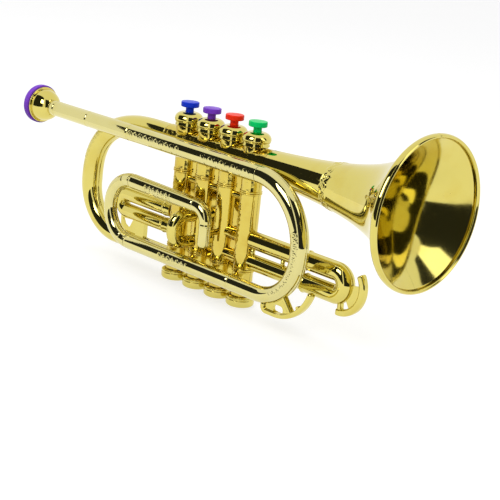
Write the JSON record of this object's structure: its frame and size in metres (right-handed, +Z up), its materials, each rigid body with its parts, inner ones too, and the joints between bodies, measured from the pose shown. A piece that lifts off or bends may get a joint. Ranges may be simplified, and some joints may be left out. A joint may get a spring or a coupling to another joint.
{
  "type": "toy trumpet",
  "caption": "Toy trumpet in gold metallised plastic with sprung coloured keys, coiled tubing, finger hooks and a purple-rimmed mouthpiece.",
  "frame": {"origin": "middle of the outline in X and Y, on the plane under the bottom caps", "axes": "+X from the mouthpiece to the bell, +Z up along the valves, -Y towards the leadpipe"},
  "size_m": [0.3694, 0.1004, 0.1526],
  "materials": {
    "gold_plastic": "vacuum metallised, mirror-like pale gold with engraved scroll bands",
    "blue_plastic": "glossy",
    "purple_plastic": "glossy",
    "red_plastic": "glossy",
    "green_plastic": "glossy",
    "seal_rubber": "matt",
    "spring_steel": "drawn wire",
    "reed_brass": "rolled"
  },
  "bodies": {
    "trumpet": {"bell_near_half": "gold_plastic", "bell_far_half": "gold_plastic", "valve_block_near_half": "gold_plastic", "valve_block_far_half": "gold_plastic", "rear_bow_near_half": "gold_plastic", "rear_bow_far_half": "gold_plastic", "rear_lower_tube_near_half": "gold_plastic", "rear_lower_tube_far_half": "gold_plastic", "leadpipe_near_half": "gold_plastic", "leadpipe_far_half": "gold_plastic", "front_bow_near_half": "gold_plastic", "front_bow_far_half": "gold_plastic", "lower_tube_near_half": "gold_plastic", "lower_tube_far_half": "gold_plastic", "small_bow_near_half": "gold_plastic", "small_bow_far_half": "gold_plastic", "small_tube_near_half": "gold_plastic", "small_tube_far_half": "gold_plastic", "third_slide_near_half": "gold_plastic", "third_slide_far_half": "gold_plastic", "first_slide_near_half": "gold_plastic", "first_slide_far_half": "gold_plastic", "second_slide_near_half": "gold_plastic", "second_slide_far_half": "gold_plastic", "slide_brace": "gold_plastic", "lower_hook": "gold_plastic", "end_hook": "gold_plastic", "mouthpiece_cup": "gold_plastic", "mouthpiece_rim": "purple_plastic", "top_cap_1": "gold_plastic", "bottom_cap_1": "gold_plastic", "spring_1": "spring_steel", "reed_1": "reed_brass", "top_cap_2": "gold_plastic", "bottom_cap_2": "gold_plastic", "spring_2": "spring_steel", "reed_2": "reed_brass", "top_cap_3": "gold_plastic", "bottom_cap_3": "gold_plastic", "spring_3": "spring_steel", "reed_3": "reed_brass", "top_cap_4": "gold_plastic", "bottom_cap_4": "gold_plastic", "spring_4": "spring_steel", "reed_4": "reed_brass"},
    "key_1": {"key_1": "blue_plastic", "seal_1": "seal_rubber"},
    "key_2": {"key_2": "purple_plastic", "seal_2": "seal_rubber"},
    "key_3": {"key_3": "red_plastic", "seal_3": "seal_rubber"},
    "key_4": {"key_4": "green_plastic", "seal_4": "seal_rubber"}
  },
  "joints": [
    {"name": "key_1_press", "type": "slide", "parent": "trumpet", "child": "key_1", "axis": [0, 0, 1], "range_m": [-0.003, 0], "stiffness_N_per_m": 150, "springref_m": 0.003, "deforming": ["spring_1"]},
    {"name": "key_2_press", "type": "slide", "parent": "trumpet", "child": "key_2", "axis": [0, 0, 1], "range_m": [-0.003, 0], "stiffness_N_per_m": 150, "springref_m": 0.003, "deforming": ["spring_2"]},
    {"name": "key_3_press", "type": "slide", "parent": "trumpet", "child": "key_3", "axis": [0, 0, 1], "range_m": [-0.003, 0], "stiffness_N_per_m": 150, "springref_m": 0.003, "deforming": ["spring_3"]},
    {"name": "key_4_press", "type": "slide", "parent": "trumpet", "child": "key_4", "axis": [0, 0, 1], "range_m": [-0.003, 0], "stiffness_N_per_m": 150, "springref_m": 0.003, "deforming": ["spring_4"]}
  ]
}
